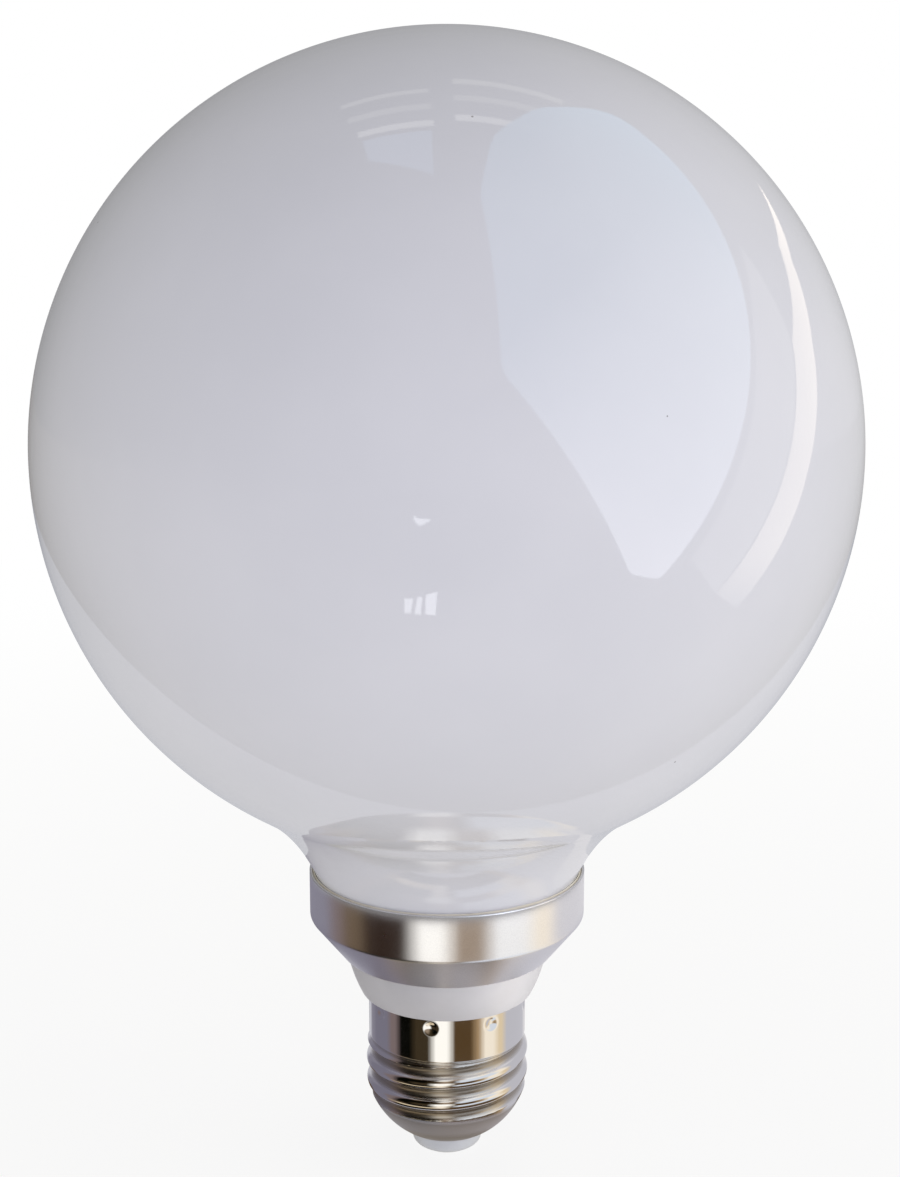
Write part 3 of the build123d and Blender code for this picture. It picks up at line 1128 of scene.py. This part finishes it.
pane_light = glow("pane_white", PANES)
mirror_only(panel("upper_pane", UPPER_PANE_AIM, SKY_DISTANCE, UPPER_PANE), pane_light)
for n, corners in enumerate(LOWER_PANES, 1):
    mirror_only(panel(f"lower_pane_{n}", LOWER_PANE_AIM, SKY_DISTANCE, corners), pane_light)
for name, ((left, right), near, width, level) in BARS.items():
    far = near + width
    corners = [(left, near, BAR_Z), (right, near, BAR_Z), (right, far, BAR_Z), (left, far, BAR_Z)]
    mirror_only(flat_face(name, corners), glow(name, (level, level, level * BAR_BLUE)))
skylight = flat_face("skylight", [(x, y, BAR_Z) for x, y in SKYLIGHT_CORNERS])
mirror_only(skylight, glow("skylight", SKYLIGHT))
print(1 + len(LOWER_PANES), "panes,", len(BARS), "bars and a skylight")

# %% [markdown]
# ### Desk and sheet
# Just above the floor lies a dim desk card with an oval hole, and in the hole a paler sheet that reaches from
# under the lamp to far behind it. The edge between them draws the curved line low on the globe.

# %% Desk and sheet
SHEET_CENTRE = (-0.022, 0.47)
SHEET_HALF = (0.275, 0.50)
SHEET_NEAR = (0.62, 0.63, 0.68)
SHEET_FAR = (0.28, 0.29, 0.33)
SHEET_REACH = (0.0, 0.6)
DESK_LEFT = (0.24, 0.23, 0.23)
DESK_RIGHT = (0.50, 0.50, 0.51)
DESK_REACH = (-0.2, 0.6)
DESK_Z = 0.0004
OVAL_STEPS = 96


def oval(centre, half, height):
    """Points round an oval; half is half its width and depth."""
    turns = [TURN * n / OVAL_STEPS for n in range(OVAL_STEPS)]
    return [(centre[0] + half[0] * math.cos(a), centre[1] + half[1] * math.sin(a), height) for a in turns]


hole = oval(SHEET_CENTRE, SHEET_HALF, DESK_Z)
wall = oval((0.0, 0.0), (ROOM_R, ROOM_R), DESK_Z)
desk = stage_mesh("desk", hole + wall, ring_quads(1, OVAL_STEPS))
mirror_only(desk, glow("desk_grey", DESK_LEFT, DESK_RIGHT, "X", DESK_REACH))
sheet = flat_face("sheet", oval(SHEET_CENTRE, SHEET_HALF, DESK_Z / 2))
mirror_only(sheet, glow("sheet_white", SHEET_NEAR, SHEET_FAR, "Y", SHEET_REACH))
print("sheet", 2 * SHEET_HALF[0], "m by", 2 * SHEET_HALF[1], "m")

# %% [markdown]
# ### Bowl round the cap
# The cap and the collar mirror what stands close to them, so a small bowl stands round them under the globe,
# painted in soft bands. The camera looks down on the cap, so a plain wall mirrors the bowl a little below
# itself, the underside of each thread mirrors the sloping foot of the bowl, its crest the rim of that foot,
# and its upper side what is higher up. The collar's cone looks down at the heel, inside the foot. So the
# paint comes in six tiers, each with its own bands from left to right. Separate cards could do this too, but
# their edges would show in the polished cap. Here each vertex of the bowl carries its colour, which is
# averaged over a few degrees so that the bands run into each other.

# %% Paint
BLACK = (0.002, 0.002, 0.001)
SOOT = (0.022, 0.007, 0.001)
UMBER = (0.05, 0.035, 0.018)
BROWN = (0.10, 0.058, 0.024)
BRONZE = (0.15, 0.10, 0.055)
TAUPE = (0.22, 0.17, 0.17)
TAN = (0.38, 0.29, 0.21)
AMBER = (0.42, 0.29, 0.16)
GOLD = (0.85, 0.70, 0.48)
CREAM = (1.08, 0.98, 0.82)
BRIGHT = (1.25, 1.23, 1.16)
WHITE = (1.05, 1.05, 1.03)
LILAC = (0.21, 0.20, 0.26)
MIST = (0.26, 0.25, 0.31)
SILVER = (0.60, 0.60, 0.66)
PEARL = (0.76, 0.75, 0.78)
PALE_BLUE = (0.80, 0.86, 0.95)

# Each band: the azimuth in degrees where it starts, and its colour.
BACK_LEFT = ((-180, SILVER), (-163, UMBER), (-145, SILVER), (-125, MIST))
BACK_RIGHT = ((112, SILVER), (128, PEARL), (148, BRONZE), (166, SILVER))
HEEL_BANDS = ((-180, BROWN), (-110, LILAC), (-76, TAUPE), (-64, BLACK), (-20, UMBER), (-8, BRONZE),
              (4, BROWN), (52, BRONZE), (64, AMBER), (76, SILVER), (112, BROWN))
FOOT_BANDS = ((-180, BROWN), (-110, LILAC), (-72, TAN), (-58, GOLD), (-12, CREAM), (0, BRONZE),
              (6, BROWN), (56, BRONZE), (66, AMBER), (76, SILVER), (112, BROWN))
RIM_BANDS = (*BACK_LEFT, (-110, LILAC), (-72, TAUPE), (-62, UMBER), (-46, BLACK), (-14, CREAM),
             (1, BROWN), (8, PALE_BLUE), (56, CREAM), (68, GOLD), (76, SILVER), *BACK_RIGHT)
WALL_BANDS = (*BACK_LEFT, (-110, LILAC), (-76, TAUPE), (-61, BLACK), (-40, UMBER), (-17, BRIGHT),
              (5, BROWN), (32, AMBER), (42, CREAM), (62, GOLD), (75, SILVER), *BACK_RIGHT)
HIGH_BANDS = ((-180, PEARL), (-166, TAUPE), (-140, MIST), (-110, LILAC), (-72, TAUPE), (-62, BLACK),
              (-22, UMBER), (-10, TAN), (2, BROWN), (10, PALE_BLUE), (58, CREAM), (74, SILVER), (140, PEARL))
COLLAR_BANDS = (*BACK_LEFT, (-110, MIST), (-67, TAUPE), (-56, BRONZE), (-42, SOOT), (-16, BRIGHT),
                (2, TAN), (20, WHITE), (43, CREAM), (58, PEARL), *BACK_RIGHT)

# Each ring of the bowl: its radius and height in millimetres, and its bands.
BOWL = (
    (15.2, 0.5, HEEL_BANDS),
    (21.5, 2.1, HEEL_BANDS),
    (23.0, 2.5, FOOT_BANDS),
    (25.0, 3.0, FOOT_BANDS),
    (27.0, 4.5, RIM_BANDS),
    (29.5, 9.0, RIM_BANDS),
    (30.0, 11.2, WALL_BANDS),
    (30.0, 19.6, WALL_BANDS),
    (30.0, 21.6, HIGH_BANDS),
    (29.0, 34.6, HIGH_BANDS),
    (26.5, 38.0, COLLAR_BANDS),
    (26.0, 45.6, COLLAR_BANDS),
)
print("paint in", len({bands for _, _, bands in BOWL}), "tiers")

# %% Bowl
BOWL_COLUMNS = 360
SOFT_DEGREES = 4.0
SOFT_SAMPLES = 7


def band_colour(bands, azimuth):
    """Colour of the last band that starts before an azimuth."""
    turned = (azimuth + 180) % 360 - 180
    return Vector([colour for start, colour in bands if start <= turned][-1])


def soft_colour(bands, azimuth):
    """Band colour averaged over a few degrees on both sides."""
    shifts = [SOFT_DEGREES * (2 * n / (SOFT_SAMPLES - 1) - 1) for n in range(SOFT_SAMPLES)]
    return sum((band_colour(bands, azimuth + shift) for shift in shifts), Vector((0, 0, 0))) / SOFT_SAMPLES


def painted_bowl():
    """Open bowl of revolution whose vertices carry their paint."""
    azimuths = [360 * n / BOWL_COLUMNS for n in range(BOWL_COLUMNS)]
    vertices = [(toward(a, 0) * r + Vector((0, 0, z))) * MM for r, z, _ in BOWL for a in azimuths]
    made = stage_mesh("bowl", vertices, ring_quads(len(BOWL) - 1, BOWL_COLUMNS))
    colours = [(*soft_colour(bands, a), 1) for _, _, bands in BOWL for a in azimuths]
    attribute = made.data.attributes.new("paint", "FLOAT_COLOR", "POINT")
    attribute.data.foreach_set("color", [channel for colour in colours for channel in colour])
    return made


def painted_glow():
    """Glowing material in the colours of the paint."""
    material = glow("bowl_paint", BLACK)
    colours = add_node(material, "ShaderNodeAttribute")
    colours.attribute_name = "paint"
    emission = material.node_tree.nodes["Emission"]
    material.node_tree.links.new(colours.outputs["Color"], emission.inputs["Color"])
    return material


mirror_only(painted_bowl(), painted_glow())
print("bowl", BOWL_COLUMNS, "columns,", len(BOWL), "rows")

# %% [markdown]
# Two round cards close the bowl underneath: a wide one that lights up the dome of the cap, and a smaller,
# darker one under the tip.

# %% Cards under the tip
DISC_STEPS = 48
UNDER_R = BOWL[0][0]
UNDER_Z = 0.4
UNDER_LEFT = (0.47, 0.47, 0.53)
UNDER_RIGHT = (0.70, 0.68, 0.74)
UNDER_REACH = (-0.5 * UNDER_R * MM, UNDER_R * MM)
TIP_R = 8.5
TIP_Z = 0.42
TIP_GLOW = (0.36, 0.33, 0.31)


def disc(name, radius, height):
    """Flat round card on the axis; radius and height in millimetres."""
    rim = [toward(360 * n / DISC_STEPS, 0) * radius for n in range(DISC_STEPS)]
    return flat_face(name, [(point + Vector((0, 0, height))) * MM for point in rim])


mirror_only(disc("under", UNDER_R, UNDER_Z), glow("under", UNDER_LEFT, UNDER_RIGHT, "X", UNDER_REACH))
mirror_only(disc("under_tip", TIP_R, TIP_Z), glow("under_tip", TIP_GLOW))

# %% [markdown]
# ## Lamps
# The light itself is plain and soft: a large key light from the right, and a weaker bluish one in front that
# gives the middle of the glass its cool tone. One behind the lamp keeps its far side white, and a tiny one
# under the globe, on the right, lifts that side of the moulded neck. The glowing floor lights the underside.
# Area lamps are used because a point or a sun would draw hard shadows on the floor. Mirror-like rays don't
# see them, so the reflections come from the cards.

# %% Lamps
NECK_MIDDLE = (shell_high.z + collar_low.z) / 2
# Each lamp: the height on the axis in millimetres that it points at, the direction that it stands in, its
# distance, the size of its face, its spread in degrees, its power and its colour.
LAMPS = {
    "key": (BALL_Z, (85, 6), 1.1, (0.9, 0.9), 180, 4.9, (0.98, 0.98, 1.0)),
    "front": (BALL_Z, (5, 14), 1.2, (0.7, 0.7), 180, 3.6, (0.60, 0.63, 1.0)),
    "back": (BALL_Z, (195, 12), 1.3, (0.5, 0.5), 180, 3.4, (1.0, 1.0, 1.0)),
    "low": (NECK_MIDDLE, (48, 0), 0.06, (0.012, 0.012), 40, 0.0006, (1.0, 0.99, 1.0)),
}


def soft_lamp(name, target, aim, distance, face, spread, power, colour):
    """Flat lamp that points at a height on the axis; its light fans out by spread degrees."""
    lamp = bpy.data.lights.new(name, "AREA")
    lamp.shape = "RECTANGLE"
    lamp.size, lamp.size_y = face
    lamp.spread = math.radians(spread)
    lamp.energy = power
    lamp.color = colour
    holder = bpy.data.objects.new(name, lamp)
    out = toward(*aim)
    holder.location = Vector((0, 0, target * MM)) + out * distance
    holder.rotation_euler = out.to_track_quat("Z", "Y").to_euler()
    holder.visible_glossy = False
    bpy.context.scene.collection.objects.link(holder)


for name, setting in LAMPS.items():
    soft_lamp(name, *setting)
print("lamps:", ", ".join(LAMPS))
